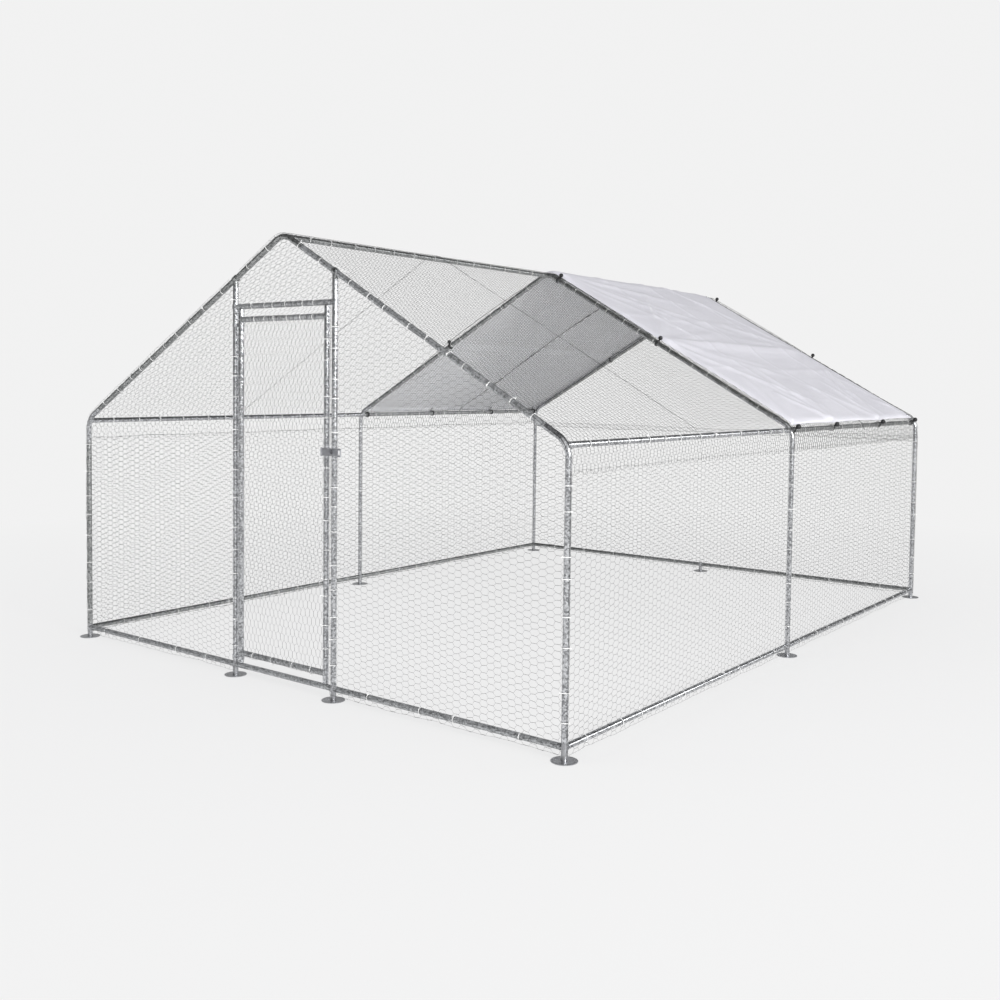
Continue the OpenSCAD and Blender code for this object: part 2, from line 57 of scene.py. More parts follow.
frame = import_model()
rng = np.random.default_rng(11)

# Sizes in metres, as in the CAD source
W, L = 1.5, 2.0
EAVE, RIDGE = 1.142, 1.990
R_TUBE, R_BEND = 0.0125, 0.090
RAIL_Z = 0.050
PITCH = math.atan2(RIDGE - EAVE, W)
SIN, COS, TAN = math.sin(PITCH), math.cos(PITCH), math.tan(PITCH)
SLOPE = W / COS
EAVE_TAN = R_BEND * math.tan((math.pi / 2 - PITCH) / 2)
RIDGE_TAN = R_BEND * TAN
EAVE_MID_X = W - R_BEND * (1 - math.cos((math.pi / 2 - PITCH) / 2))
EAVE_MID_Z = EAVE - EAVE_TAN + R_BEND * math.sin((math.pi / 2 - PITCH) / 2)
RIDGE_MID_Z = RIDGE - R_BEND * (1 / COS - 1)
DOOR_X = 0.320
HINGE_X, LATCH_X = -0.281, 0.273
HEADER_Z = RIDGE - DOOR_X * TAN - 0.126
LOW_RAIL, TOP_RAIL = 0.1083, HEADER_Z - R_TUBE - 0.0008 - 0.045
LATCH_Z = 1.055
CLIP_DROP = 0.024  # the hinge clips lie this far under the door's rails
CLIP_ZS = (LOW_RAIL - CLIP_DROP, TOP_RAIL - CLIP_DROP)
NET_OFF = 0.0138  # the nets lie this far off the tubes' axes


def roof_z(x):
    """Height of the rafters' axis."""
    return RIDGE - abs(x) * TAN


# Materials

def new_material(name):
    mat = bpy.data.materials.new(name)
    mat.use_nodes = True
    tree = mat.node_tree
    return mat, tree, tree.nodes["Principled BSDF"]


def node(tree, kind, **inputs):
    n = tree.nodes.new(kind)
    for key, value in inputs.items():
        n.inputs[key.replace("_", " ")].default_value = value
    return n


def ramp(tree, source, stops):
    r = tree.nodes.new("ShaderNodeValToRGB")
    els = r.color_ramp.elements
    els[0].position, els[1].position = stops[0][0], stops[-1][0]
    for at, _ in stops[1:-1]:
        els.new(at)
    for e, (_, colour) in zip(els, stops):
        e.color = (*colour, 1.0)
    tree.links.new(source, r.inputs["Fac"])
    return r


def metal(name, dark, light, rough, metallic=0.9, spangle=90.0, mottle=0.45, bump=0.05):
    """Zinc with a spangle, streaks and small dents. mottle is the spangle's part in the colour."""
    mat, tree, bsdf = new_material(name)
    coord = tree.nodes.new("ShaderNodeTexCoord")
    vor = node(tree, "ShaderNodeTexVoronoi", Scale=spangle)
    tree.links.new(coord.outputs["Object"], vor.inputs["Vector"])
    noise = node(tree, "ShaderNodeTexNoise", Scale=9.0, Detail=6.0, Roughness=0.6)
    tree.links.new(coord.outputs["Object"], noise.inputs["Vector"])
    mix = tree.nodes.new("ShaderNodeMix")
    mix.data_type = "FLOAT"
    mix.inputs["Factor"].default_value = mottle
    tree.links.new(noise.outputs["Fac"], mix.inputs["A"])
    tree.links.new(vor.outputs["Color"], mix.inputs["B"])
    col = ramp(tree, mix.outputs["Result"], [(0.25, dark), (0.75, light)])
    tree.links.new(col.outputs["Color"], bsdf.inputs["Base Color"])
    rr = ramp(tree, noise.outputs["Fac"], [(0.3, (rough * 0.8,) * 3), (0.7, (rough * 1.25,) * 3)])
    tree.links.new(rr.outputs["Color"], bsdf.inputs["Roughness"])
    bsdf.inputs["Metallic"].default_value = metallic
    b = node(tree, "ShaderNodeBump", Strength=bump, Distance=0.001)
    tree.links.new(noise.outputs["Fac"], b.inputs["Height"])
    tree.links.new(b.outputs["Normal"], bsdf.inputs["Normal"])
    return mat


def plastic(name, dark, light, rough, scale=60.0):
    mat, tree, bsdf = new_material(name)
    coord = tree.nodes.new("ShaderNodeTexCoord")
    noise = node(tree, "ShaderNodeTexNoise", Scale=scale, Detail=4.0)
    tree.links.new(coord.outputs["Object"], noise.inputs["Vector"])
    col = ramp(tree, noise.outputs["Fac"], [(0.3, dark), (0.7, light)])
    tree.links.new(col.outputs["Color"], bsdf.inputs["Base Color"])
    bsdf.inputs["Roughness"].default_value = rough
    return mat


def tarp_material(name, dark, light, rough, weave, depth=0.0):
    """Woven sheeting with a fine cross weave under its coating. depth is how far light goes into it."""
    mat, tree, bsdf = new_material(name)
    coord = tree.nodes.new("ShaderNodeTexCoord")
    uv = coord.outputs["UV"]
    waves = []
    for direction in ("X", "Y"):
        w = node(tree, "ShaderNodeTexWave", Scale=weave)
        w.wave_type = "BANDS"
        w.bands_direction = direction
        tree.links.new(uv, w.inputs["Vector"])
        waves.append(w)
    add = tree.nodes.new("ShaderNodeMath")
    add.operation = "MULTIPLY_ADD"
    add.inputs[1].default_value = 0.5
    tree.links.new(waves[0].outputs["Fac"], add.inputs[0])
    half = tree.nodes.new("ShaderNodeMath")
    half.operation = "MULTIPLY"
    half.inputs[1].default_value = 0.5
    tree.links.new(waves[1].outputs["Fac"], half.inputs[0])
    tree.links.new(half.outputs[0], add.inputs[2])
    noise = node(tree, "ShaderNodeTexNoise", Scale=3.0, Detail=5.0)
    tree.links.new(uv, noise.inputs["Vector"])
    mix = tree.nodes.new("ShaderNodeMix")
    mix.data_type = "FLOAT"
    mix.inputs["Factor"].default_value = 0.6
    tree.links.new(add.outputs[0], mix.inputs["A"])
    tree.links.new(noise.outputs["Fac"], mix.inputs["B"])
    col = ramp(tree, mix.outputs["Result"], [(0.3, dark), (0.7, light)])
    tree.links.new(col.outputs["Color"], bsdf.inputs["Base Color"])
    bsdf.inputs["Roughness"].default_value = rough
    if depth:
        bsdf.inputs["Subsurface Weight"].default_value = 1.0
        bsdf.inputs["Subsurface Radius"].default_value = (1.0, 1.0, 1.0)
        bsdf.inputs["Subsurface Scale"].default_value = depth
    b = node(tree, "ShaderNodeBump", Strength=0.08, Distance=0.0005)
    tree.links.new(add.outputs[0], b.inputs["Height"])
    # fine wrinkles, drawn out along the run
    pull = tree.nodes.new("ShaderNodeMapping")
    pull.inputs["Rotation"].default_value = (0, 0, 0.25)
    pull.inputs["Scale"].default_value = (9.0, 1.6, 1.0)
    tree.links.new(uv, pull.inputs["Vector"])
    wrinkle = node(tree, "ShaderNodeTexNoise", Scale=1.0, Detail=4.0, Roughness=0.55, Distortion=0.6)
    tree.links.new(pull.outputs["Vector"], wrinkle.inputs["Vector"])
    fold = node(tree, "ShaderNodeBump", Strength=0.5, Distance=0.012)
    tree.links.new(wrinkle.outputs["Fac"], fold.inputs["Height"])
    tree.links.new(fold.outputs["Normal"], b.inputs["Normal"])
    tree.links.new(b.outputs["Normal"], bsdf.inputs["Normal"])
    return mat


GALV = metal("galvanised", (0.24, 0.245, 0.255), (0.70, 0.71, 0.73), 0.22, spangle=150.0, mottle=0.75)
# a darker copy of the zinc for the rafters, the ridge and the rails in the shade: painted shade
GALV_PAINTED_SHADE = metal("galvanised_painted_shade", (0.16, 0.165, 0.165), (0.48, 0.49, 0.49), 0.34,
                  spangle=150.0, mottle=0.75)
# a less metallic copy of the zinc, which renders lighter grey, for the rails towards the camera: painted light
GALV_PAINTED_LIGHT = metal("galvanised_painted_light", (0.20, 0.205, 0.21), (0.52, 0.53, 0.54), 0.38,
                  metallic=0.6, spangle=150.0, mottle=0.75)
FEET = metal("foot_plate", (0.33, 0.33, 0.34), (0.52, 0.53, 0.55), 0.36)
WIRE = metal("net_wire", (0.07, 0.072, 0.07), (0.15, 0.152, 0.15), 0.52, metallic=0.8, spangle=40.0)
# a copy of the net wire, with its own colour and shine, for the roof strips under the tarp, set for the tarp's
# shade: painted shade
WIRE_SHADE = metal("net_wire_shaded", (0.10, 0.102, 0.10), (0.17, 0.172, 0.17), 0.6,
                   metallic=0.5, spangle=40.0)
FITTING = metal("zinc_fitting", (0.28, 0.28, 0.30), (0.42, 0.43, 0.45), 0.42)
TIE = plastic("cable_tie", (0.80, 0.80, 0.79), (0.90, 0.90, 0.89), 0.4)
BLACK = plastic("bungee_black", (0.008, 0.008, 0.009), (0.022, 0.022, 0.024), 0.45)
WEAVE = 160.0
# the outside is darker than the sheet's own white, to tone down the light on the top: painted shade; the
# inside is lighter than the outside, to brighten the underside in the roof's shade: painted light
TARP_OUT = tarp_material("tarp_outside", (0.655, 0.65, 0.693), (0.755, 0.75, 0.793), 0.42, WEAVE)
TARP_IN = tarp_material("tarp_inside", (0.84, 0.845, 0.86), (0.92, 0.925, 0.94), 0.6, WEAVE, depth=0.0006)


# Meshes

class Soup:
    """Collects quads and triangles for one mesh."""

    def __init__(self):
        self.v, self.f, self.n = [], [], 0

    def add(self, verts, faces):
        verts = np.asarray(verts, np.float64).reshape(-1, 3)
        self.v.append(verts)
        for f in faces:
            self.f.append(np.asarray(f) + self.n)
        self.n += len(verts)

    def object(self, name, mat, body, smooth=True, slot=None):
        return mesh_object(name, np.concatenate(self.v), self.f, mat, body, smooth)


def mesh_object(name, verts, faces, mat, body, smooth=True):
    """faces: a list of (n, k) arrays or of single faces."""
    me = bpy.data.meshes.new(name)
    rows = [np.atleast_2d(f) for f in faces]
    loops = np.concatenate([r.ravel() for r in rows])
    totals = np.concatenate([np.full(len(r), r.shape[1]) for r in rows])
    me.vertices.add(len(verts))
    me.vertices.foreach_set("co", np.asarray(verts, np.float32).ravel())
    me.loops.add(len(loops))
    me.loops.foreach_set("vertex_index", loops.astype(np.int32))
    me.polygons.add(len(totals))
    starts = np.concatenate([[0], np.cumsum(totals)[:-1]])
    me.polygons.foreach_set("loop_start", starts.astype(np.int32))
    me.polygons.foreach_set("use_smooth", np.full(len(totals), smooth))
    me.update(calc_edges=True)
    me.validate()
    me.materials.append(mat)
    o = bpy.data.objects.new(name, me)
    bpy.context.scene.collection.objects.link(o)
    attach(o, body)
    return o


def unit(v):
    v = np.asarray(v, float)
    return v / np.linalg.norm(v, axis=-1, keepdims=True)


# Hexagonal wire net

def hex_segments(lo, hi, cell):
    """Edges of a hexagonal net over a box: (start, end, is_twist). Twists run along the first axis."""
    s = cell / math.sqrt(3)
    lo, hi = np.array([lo[0] / STRETCH, lo[1]]), np.array([hi[0] / STRETCH, hi[1]])
    cols = int((hi[0] - lo[0]) / (1.5 * s)) + 3
    rows = int((hi[1] - lo[1]) / cell) + 3
    i, j = np.meshgrid(np.arange(-1, cols), np.arange(-1, rows), indexing="ij")
    centre = np.stack([lo[0] + 1.5 * s * i, lo[1] + cell * (j + 0.5 * (i % 2))], -1).reshape(-1, 2)
    corner = [s * np.array([math.cos(a), math.sin(a)]) for a in (0, math.pi / 3, 2 * math.pi / 3, math.pi)]
    starts = np.concatenate([centre + corner[k] for k in range(3)])
    ends = np.concatenate([centre + corner[k + 1] for k in range(3)])
    twist = np.repeat([False, True, False], len(centre))
    along = np.array([STRETCH, 1.0])
    return starts * along, ends * along, twist


def clip(starts, ends, twist, outline):
    """Cuts segments to a convex outline, drawn anticlockwise."""
    t0, t1 = np.zeros(len(starts)), np.ones(len(starts))
    d = ends - starts
    keep = np.ones(len(starts), bool)
    for k in range(len(outline)):
        a, b = np.array(outline[k]), np.array(outline[(k + 1) % len(outline)])
        n = np.array([-(b - a)[1], (b - a)[0]])
        n = n / np.linalg.norm(n)
        f0, fd = (starts - a) @ n, d @ n
        inside = np.abs(fd) < 1e-12
        keep &= ~(inside & (f0 < 0))
        t = np.where(inside, 0, -f0 / np.where(inside, 1, fd))
        t0 = np.where(~inside & (fd > 0), np.maximum(t0, t), t0)
        t1 = np.where(~inside & (fd < 0), np.minimum(t1, t), t1)
    keep &= t1 - t0 > 0.02
    p = starts + t0[:, None] * d
    q = starts + t1[:, None] * d
    return p[keep], q[keep], twist[keep]


def prisms(p, q, normal, radius):
    """Three-sided wires from p to q: vertices and quads."""
    d = unit(q - p)
    b = np.cross(d, normal)
    r = radius[:, None]
    offs = [r * normal, r * (-0.5 * normal + 0.866 * b), r * (-0.5 * normal - 0.866 * b)]
    e = d * r * 0.6
    verts = np.stack([p - e + o for o in offs] + [q + e + o for o in offs], 1)
    base = 6 * np.arange(len(p))[:, None]
    quads = np.concatenate([base + np.array(f) for f in ([0, 1, 4, 3], [1, 2, 5, 4], [2, 0, 3, 5])])
    return verts.reshape(-1, 3), quads


CELL, STRETCH = 0.0264, 1.45
WIRE_R, TWIST_R, RIM_R = 0.00039, 0.00066, 0.00045
FAR_WIRE, SHADED_WIRE = 1.4, 1.9  # thicker wire on the far sides and under the tarp
RIM_STEP = 0.04
# slack of a net: waves per metre along its two axes, and their heights in millimetres
SLACK = 2 * math.pi * np.array([[1.9, 0.8], [0.7, 2.3], [4.1, 3.2], [11.0, 7.0], [17.0, 31.0], [29.0, 13.0]])
SLACK_MM = (1.6, 1.6, 0.8, 0.5, 1.2, 1.2)
BULGE_MM = (0.5, 0.4, 0.2, 0.1)


def outside(points, holes):
    """True for the points that lie in none of the holes, each (x, y, half x, half y)."""
    keep = np.ones(len(points), bool)
    for x, y, hx, hy in holes:
        keep &= ~((np.abs(points[:, 0] - x) < hx) & (np.abs(points[:, 1] - y) < hy))
    return keep


def net(name, outline, place, body, nodes, holes=(), seed=0, bare=(), reach=9.0, sway=0.0,
        heavy=1.0, mat=WIRE):
    """A net over a convex outline, with holes. place maps (n, 2) to points and normals.

    Each side of the outline has a border wire, apart from the sides numbered in bare and what lies further
    along the first axis than reach. sway bends the border sideways; heavy thickens every wire, and the
    border twice.
    """
    pts = np.array(outline, float)
    lo, hi = pts.min(0) - 0.05, pts.max(0) + 0.05
    s, e, tw = clip(*hex_segments(lo + rng.uniform(0, 0.02, 2), hi, CELL), outline)
    keep = outside((s + e) / 2, holes)
    s, e, tw = s[keep], e[keep], tw[keep]
    radius = np.where(tw, TWIST_R, WIRE_R)
    for k in set(range(len(pts))) - set(bare):
        a, b = pts[k], pts[(k + 1) % len(pts)]
        n = max(2, int(np.linalg.norm(b - a) / RIM_STEP))
        t = np.linspace(0, 1, n + 1)[:, None]
        line = a + t * (b - a)
        line[:, 1] += sway * np.sin(3.4 * line[:, 0] + 0.6)
        ls, le = line[:-1], line[1:]
        ok = (np.abs(ls[:, 0]) < reach) & outside((ls + le) / 2, holes)
        s, e = np.concatenate([s, ls[ok]]), np.concatenate([e, le[ok]])
        radius = np.concatenate([radius, np.full(ok.sum(), RIM_R * heavy)])

    def wobble(p):
        ph = np.random.default_rng(seed).uniform(0, 6.28, (len(SLACK), 2))
        dx = sum(a * np.sin(p @ k + h[0]) for a, k, h in zip(SLACK_MM, SLACK, ph))
        dy = sum(a * np.sin(p @ k[::-1] + h[1]) for a, k, h in zip(SLACK_MM, SLACK, ph))
        dz = sum(BULGE_MM) + sum(a * np.sin(p @ k + h[0] + h[1]) for a, k, h in zip(BULGE_MM, SLACK, ph))
        return p + 0.001 * np.stack([dx, dy], 1), 0.001 * np.maximum(dz, 0)

    (s2, sz), (e2, ez) = wobble(s), wobble(e)
    p, n = place(s2)
    q, _ = place(e2)
    v, f = prisms(p + n * sz[:, None], q + n * ez[:, None], n, heavy * radius)
    o = mesh_object(name, v, [f], mat, body, True)
    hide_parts(*nodes)
    return o


def flat_place(origin, u, v, n):
    origin, u, v, n = (np.array(a, float) for a in (origin, u, v, n))
    return lambda p: (origin + p[:, :1] * u + p[:, 1:] * v, np.tile(n, (len(p), 1)))


# The roof's cross-section, rounded at the ridge and the eaves, at a distance off the tubes' axes

def roof_profile(s, off):
    """s runs along the section from the ridge, positive to the right. Gives x, z and the outward normal."""
    a = np.abs(s)
    side = np.where(s < 0, -1.0, 1.0)
    r = R_BEND + off
    ridge_len = r * PITCH
    straight = SLOPE - EAVE_TAN - RIDGE_TAN
    eave_len = r * (math.pi / 2 - PITCH)
    # ridge arc
    phi = np.minimum(a / r, PITCH)
    x = r * np.sin(phi)
    z = RIDGE - R_BEND / COS + r * np.cos(phi)
    ang = phi.copy()
    # slope
    t = np.clip(a - ridge_len, 0, straight)
    x = x + t * COS
    z = z - t * SIN
    # eave arc
    t = np.clip(a - ridge_len - straight, 0, eave_len) / r
    x = x + r * (np.sin(PITCH + t) - math.sin(PITCH))
    z = z + r * (np.cos(PITCH + t) - math.cos(PITCH))
    ang = ang + t
    # wall
    t = np.maximum(a - ridge_len - straight - eave_len, 0)
    z = z - t
    return side * x, z, side * np.sin(ang), np.cos(ang)


def roof_place(off):
    def place(p):
        x, z, nx, nz = roof_profile(p[:, 0], off)
        return np.stack([x, p[:, 1], z], 1), np.stack([nx, np.zeros_like(nx), nz], 1)
    return place


def section_length(off):
    r = R_BEND + off
    return r * PITCH + SLOPE - EAVE_TAN - RIDGE_TAN + r * (math.pi / 2 - PITCH)


Z_LOW = RAIL_Z - R_TUBE - 0.012  # lower edge of the walls' nets
ROLL_TOP, ROLL_W = 1.045, 1.004  # upper edge of the low nets, and a roof net's width
FRONT_LIP, LAP = 0.008, 0.004  # past the front rafters, and over the roof net before
FLAP_Z = 1.03  # where the roof nets end on the walls
FLAP = section_length(NET_OFF) + (EAVE - EAVE_TAN - FLAP_Z)
clamp_s = DOOR_X / COS - RIDGE_TAN + (R_BEND + NET_OFF) * PITCH
roof_holes = [(side * clamp_s, -L, 0.030, 0.030) for side in (-1, 1)]
for k in range(4):
    y0, y1 = -L - FRONT_LIP + k * ROLL_W, -L - FRONT_LIP + (k + 1) * ROLL_W
    shaded = k >= 2
    net(f"net_roof_{k}", [(-FLAP, y0 - LAP), (FLAP, y0 - LAP), (FLAP, y1), (-FLAP, y1)],
        roof_place(NET_OFF + 0.0008), "frame", ["roof_nets"], holes=roof_holes, seed=20 + k, bare=(1, 3),
        reach=section_length(NET_OFF) - 0.06, sway=0.03 if shaded else 0.0,
        heavy=SHADED_WIRE if shaded else 1.0, mat=WIRE_SHADE if shaded else WIRE)
for side, nm in ((-1, "left"), (1, "right")):
    rect = [(-L - 0.006, Z_LOW), (L + 0.006, Z_LOW), (L + 0.006, ROLL_TOP), (-L - 0.006, ROLL_TOP)]
    wall_place = flat_place((side * (W + NET_OFF), 0, 0), (0, 1, 0), (0, 0, 1), (side, 0, 0))
    net(f"net_wall_{nm}", rect, wall_place, "frame", [f"wall_net_{nm}"], seed=30 + side,
        heavy=FAR_WIRE if side < 0 else 1.0)


def gable_top(x):
    """Upper edge of a gable's net: a little above the rafter's axis."""
    return roof_z(x) + 0.006


def wrap_place(front):
    """A gable's plane, bent round the corner posts past their axes. front is -1 or 1."""
    def place(p):
        x, side = p[:, 0], np.sign(p[:, 0])
        ang = np.maximum(np.abs(x) - W, 0) / NET_OFF
        px = np.where(np.abs(x) > W, side * (W + NET_OFF * np.sin(ang)), x)
        py = front * (L + NET_OFF * np.cos(ang))
        n = np.stack([side * np.sin(ang), front * np.cos(ang), np.zeros_like(x)], 1)
        return np.stack([px, py, p[:, 1]], 1), n
    return place


front_place, back_place = wrap_place(-1), wrap_place(1)
WRAP = W + NET_OFF * 1.35
PEAK = 0.02  # half the width of a gable net's blunt top
net("net_rear_low", [(-WRAP, Z_LOW), (WRAP, Z_LOW), (WRAP, ROLL_TOP), (-WRAP, ROLL_TOP)],
    back_place, "frame", ["rear_net"], seed=41, heavy=FAR_WIRE)
rear_x, rear_low, rear_eave = W - 0.004, ROLL_TOP - 0.03, gable_top(W) - 0.012
net("net_rear_top", [(-rear_x, rear_low), (rear_x, rear_low), (rear_x, rear_eave),
                     (PEAK, gable_top(PEAK)), (-PEAK, gable_top(PEAK)), (-rear_x, rear_eave)],
    back_place, "frame", ["rear_net"], seed=42, heavy=FAR_WIRE)
# the front nets leave the clamps, the hinge clips and the hasp free
CLAMP = 0.021
post_holes = [(sx * DOOR_X, z, CLAMP, CLAMP) for sx in (-1, 1) for z in (HEADER_Z, roof_z(DOOR_X))]
post_holes += [(-DOOR_X, z, 0.02, 0.015) for z in CLIP_ZS]
post_holes += [(DOOR_X, LATCH_Z, 0.02, 0.024), (DOOR_X + 0.035, LATCH_Z, 0.06, 0.026)]
inner, bend_x = DOOR_X - 0.008, W - EAVE_TAN * COS
for side, nm in ((-1, "left"), (1, "right")):
    pts = [(inner, Z_LOW), (WRAP, Z_LOW), (WRAP, EAVE - EAVE_TAN), (bend_x, gable_top(bend_x)),
           (inner, gable_top(inner))]
    if side < 0:
        pts = [(-x, z) for x, z in reversed(pts)]
    net(f"net_front_{nm}", pts, front_place, "frame", ["front_nets"], holes=post_holes, seed=50 + side)
net("net_front_top", [(-DOOR_X, HEADER_Z - 0.008), (DOOR_X, HEADER_Z - 0.008), (DOOR_X, gable_top(DOOR_X)),
                      (PEAK, gable_top(PEAK)), (-PEAK, gable_top(PEAK)), (-DOOR_X, gable_top(DOOR_X))],
    front_place, "frame", ["front_nets"], holes=post_holes, seed=52)
# the door's net hangs the other way: its twists stand upright, so its points are (z, x)
door_low, door_high = LOW_RAIL - 0.010, TOP_RAIL + 0.010
door_left, door_right = HINGE_X + 0.006, LATCH_X + 0.006
net("net_door", [(door_low, door_left), (door_high, door_left),
                 (door_high, door_right), (door_low, door_right)],
    lambda p: front_place(p[:, ::-1]), "door", ["door_net"],
    holes=[(CLIP_ZS[1], HINGE_X, 0.016, 0.0185), (LATCH_Z, LATCH_X, 0.024, 0.028)], seed=53)


# Cable ties

def tie(soup, at, axis, radius, turn, tail):
    """A band round a tube with its head and cut end."""
    axis = unit(axis)
    ref = np.array([0, 0, 1.0]) if abs(axis[2]) < 0.9 else np.array([1.0, 0, 0])
    e1 = unit(np.cross(axis, ref))
    e2 = np.cross(axis, e1)
    n, h, t = 14, 0.0014, 0.0011  # sides, half width and thickness of the band
    ang = turn + 2 * math.pi * np.arange(n) / n
    ring = np.cos(ang)[:, None] * e1 + np.sin(ang)[:, None] * e2
    verts = np.concatenate([at + ring * rr + axis * hh for rr, hh in
                            ((radius, -h), (radius, h), (radius + t, h), (radius + t, -h))])
    i = np.arange(n)
    j = (i + 1) % n
    quads = np.concatenate([np.stack([a * n + i, a * n + j, b * n + j, b * n + i], 1)
                            for a, b in ((0, 1), (1, 2), (2, 3), (3, 0))])
    soup.add(verts, [quads])
    out = math.cos(turn) * e1 + math.sin(turn) * e2
    along = np.cross(axis, out)
    box = np.array([[x, y, z] for x in (-1, 1) for y in (-1, 1) for z in (-1, 1)], float)
    sides = [[0, 1, 3, 2], [4, 6, 7, 5], [0, 4, 5, 1], [2, 3, 7, 6], [0, 2, 6, 4], [1, 5, 7, 3]]
    axes = np.stack([out, along, axis])
    for centre, size in ((at + out * (radius + 0.0022), (0.0022, 0.0024, 0.0020)),
                         (at + out * (radius + 0.002 + tail / 2), (tail / 2, 0.0006, 0.0012))):
        soup.add(centre + (box * np.array(size)) @ axes, [sides])


def ties_along(soup, a, b, step, skip=()):
    """Ties on a tube from a to b, about a step apart, apart from those near a point in skip."""
    a, b = np.array(a, float), np.array(b, float)
    length = np.linalg.norm(b - a)
    count = max(1, int(length / step))
    for k in range(count):
        t = (k + 0.5 + rng.uniform(-0.22, 0.22)) / count
        p = a + t * (b - a)
        if any(np.linalg.norm(p - np.array(c)) < d for c, d in skip):
            continue
        tie(soup, p, b - a, TIE_R, rng.uniform(0, 6.28), rng.uniform(0.004, 0.012))


def on_rafter(side, y, up):
    """A point on a rafter's axis, by its distance up the slope from the eave's corner."""
    return (side * (W - up * COS), y, EAVE + up * SIN)


TIE_R = 0.0146
STEP = 0.108
RAIL_STEP, PURLIN_STEP, GABLE_RAIL_STEP, DOOR_STEP = STEP * 1.6, STEP * 1.3, STEP * 2.2, 0.075
JOINT = 0.07  # the rails' ends, at the joints, have no ties
soup = Soup()
for y in (-L, 0, L):
    for side in (-1, 1):
        ties_along(soup, (side * W, y, 0.09), (side * W, y, 1.06), STEP)
        ties_along(soup, on_rafter(side, y, 0.14), on_rafter(side, y, SLOPE - 0.08), STEP,
                   skip=[((sx * DOOR_X, -L, roof_z(DOOR_X)), 0.03) for sx in (-1, 1)])
for y in (-L, 0):
    y0, y1 = y + JOINT, y + L - JOINT
    for side in (-1, 1):
        ties_along(soup, (side * W, y0, RAIL_Z), (side * W, y1, RAIL_Z), RAIL_STEP)
        eave_x = side * EAVE_MID_X
        ties_along(soup, (eave_x, y0, EAVE_MID_Z), (eave_x, y1, EAVE_MID_Z), PURLIN_STEP)
    ties_along(soup, (0, y0, RIDGE_MID_Z), (0, y1, RIDGE_MID_Z), PURLIN_STEP)
for y, a, b in ((-L, -W, -DOOR_X), (-L, DOOR_X, W), (L, -W, 0), (L, 0, W)):
    ties_along(soup, (a + JOINT, y, RAIL_Z), (b - JOINT, y, RAIL_Z), GABLE_RAIL_STEP)
for sx in (-1, 1):
    skip = [((sx * DOOR_X, -L, HEADER_Z), 0.03)]
    skip += [((-DOOR_X, -L, z), 0.025) for z in CLIP_ZS]
    skip += [((DOOR_X, -L, LATCH_Z), 0.03)]
    ties_along(soup, (sx * DOOR_X, -L, 0.09), (sx * DOOR_X, -L, roof_z(DOOR_X) - 0.05), STEP, skip)
ties_along(soup, (-DOOR_X + JOINT, -L, HEADER_Z), (DOOR_X - JOINT, -L, HEADER_Z), DOOR_STEP)
soup.object("cable_ties_frame", TIE, "frame", False)
soup = Soup()
ties_along(soup, (LATCH_X, -L, LOW_RAIL + 0.04), (LATCH_X, -L, TOP_RAIL - 0.04), STEP,
           skip=[((LATCH_X, -L, LATCH_Z), 0.03)])
for z, step in ((LOW_RAIL, STEP), (TOP_RAIL, DOOR_STEP)):
    ties_along(soup, (HINGE_X + 0.05, -L, z), (LATCH_X - 0.05, -L, z), step)
soup.object("cable_ties_door", TIE, "door", False)


# Tarp

# By side, -1 left and 1 right: the eave bungees' places along the run, the hems' distance from the ridge
# along the section, and the rear edges
BUNGEES = {-1: [0.05, 0.71, 1.40, 1.95], 1: [0.03, 0.56, 1.31, 1.93]}
TARP_OFF = NET_OFF + 0.0052
EAVE_ARC = (R_BEND + TARP_OFF) * (math.pi / 2 - PITCH)
HEM = {-1: section_length(TARP_OFF) - 0.50 * EAVE_ARC, 1: section_length(TARP_OFF) - 0.66 * EAVE_ARC}
REAR = {-1: 2.0, 1: 1.935}
SHARES = (0.035, 0.50)  # the rafter bungees, as shares of the way from the ridge to the hem
TARP_FRONT = 0.006
TARP_T = 0.0004
CURL_R, CURL_TURN = 0.0165, 1.25  # the curl over the left rear rafter
COLUMNS, ROWS, CURL_ROWS = 271, 165, 4
FOLD_W = 0.026  # the narrowest fold that the grid shows smoothly
PACKED_Y, PACKED_S = (0.50, 1.02, 1.5), (-1.15, -0.55, 0.55, 1.15)  # folds from its packing
PACKED_H, PACKED_W = 0.0035, 0.022


def bump01(t):
    """0 at 0 and 1, and 1 halfway."""
    return 1 - (2 * t - 1) ** 2


def hem_at(y, side):
    """How far the hem lies from the ridge, along the section."""
    back = np.zeros_like(y)
    pts = [0.0] + BUNGEES[side][1:3] + [2.0]
    for a, b in zip(pts[:-1], pts[1:]):
        inside = (y >= a) & (y <= b)
        back = np.where(inside, 0.008 * bump01(np.clip((y - a) / (b - a), 0, 1)), back)
    return HEM[side] - back


def edge_at(share):
    """How far the tarp's end edges draw back from the rafters. share is 0 at the ridge and 1 at the hem."""
    pts = [*SHARES, 1.0]
    back = np.zeros_like(share)
    for a, b in zip([-SHARES[0], *SHARES], pts):
        inside = (share >= a) & (share <= b)
        back = np.where(inside, 0.022 * (b - a) / 0.5 * bump01(np.clip((share - a) / (b - a), 0, 1)), back)
    return back


def crease(s, y, start, end, height, broad, sharp):
    """A fold along the line from start to end, broad on its one side and sharp on the other."""
    (s0, y0), (s1, y1) = start, end
    length = math.hypot(s1 - s0, y1 - y0)
    ds, dy = (s1 - s0) / length, (y1 - y0) / length
    along = ((s - s0) * ds + (y - y0) * dy) / length
    across = (s - s0) * dy - (y - y0) * ds
    fade = np.sqrt(np.clip(4 * along * (1 - along), 0, 1))
    return height * fade * np.exp(-(across / np.where(across > 0, broad, sharp)) ** 2)


